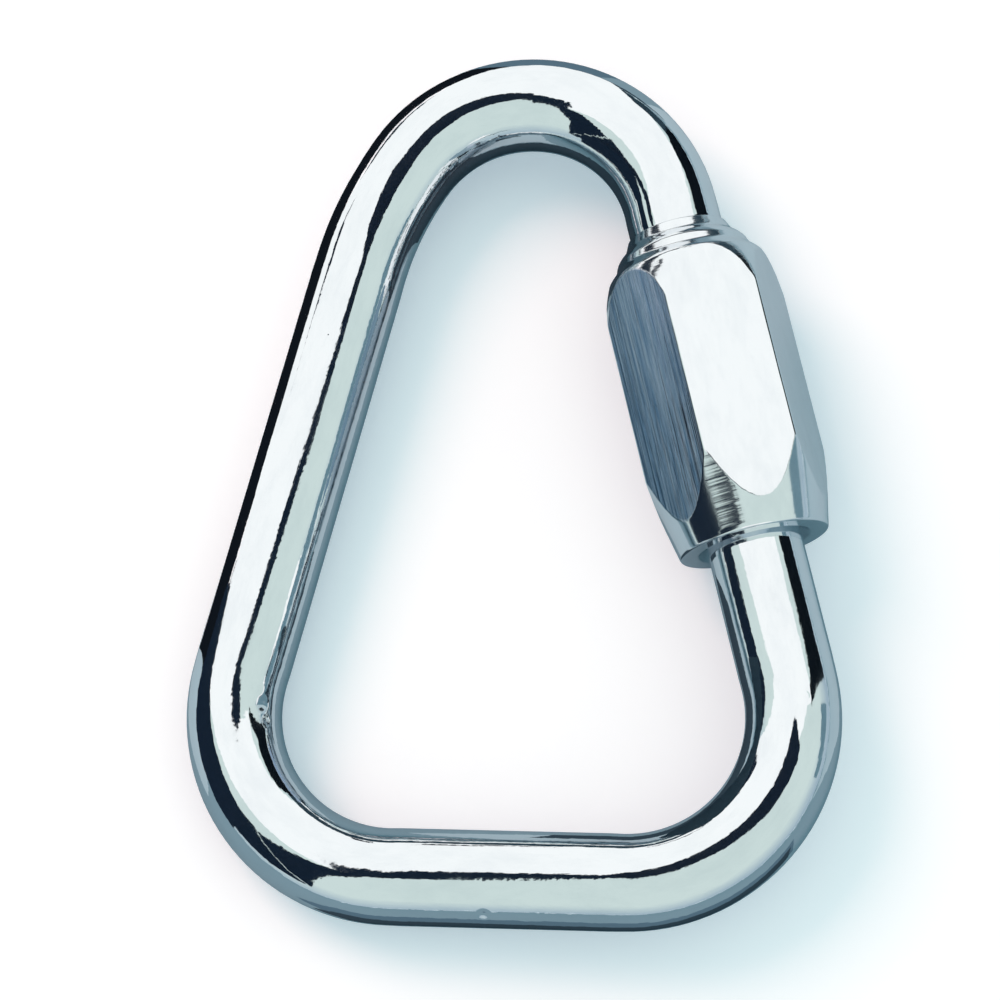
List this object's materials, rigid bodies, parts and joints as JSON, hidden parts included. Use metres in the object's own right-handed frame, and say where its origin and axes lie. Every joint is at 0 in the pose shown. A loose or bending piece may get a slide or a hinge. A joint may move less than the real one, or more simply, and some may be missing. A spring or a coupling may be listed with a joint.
{
  "type": "delta quick link",
  "caption": "Triangular screw-closing chain link of round plated steel rod; a long hexagonal sleeve nut slides along one leg to open and close the gate.",
  "frame": {"origin": "middle of the link's overall box, on the plane of the rod's centreline", "axes": "+Y from the base bar to the crown, +X towards the gate leg with the nut, +Z square to the link's plane"},
  "size_m": [0.068, 0.094, 0.0186],
  "materials": {
    "plated_rod": "bright zinc plate on drawn steel rod",
    "plated_nut": "bright zinc plate on turned hexagon bar"
  },
  "bodies": {
    "link_body": {"link_body": "plated_rod"},
    "sleeve_nut": {"sleeve_nut": "plated_nut"}
  },
  "joints": [
    {"name": "sleeve_travel", "type": "slide", "parent": "link_body", "child": "sleeve_nut", "axis": [0.2545, -0.9671, 0], "range_m": [0, 0.015]}
  ]
}
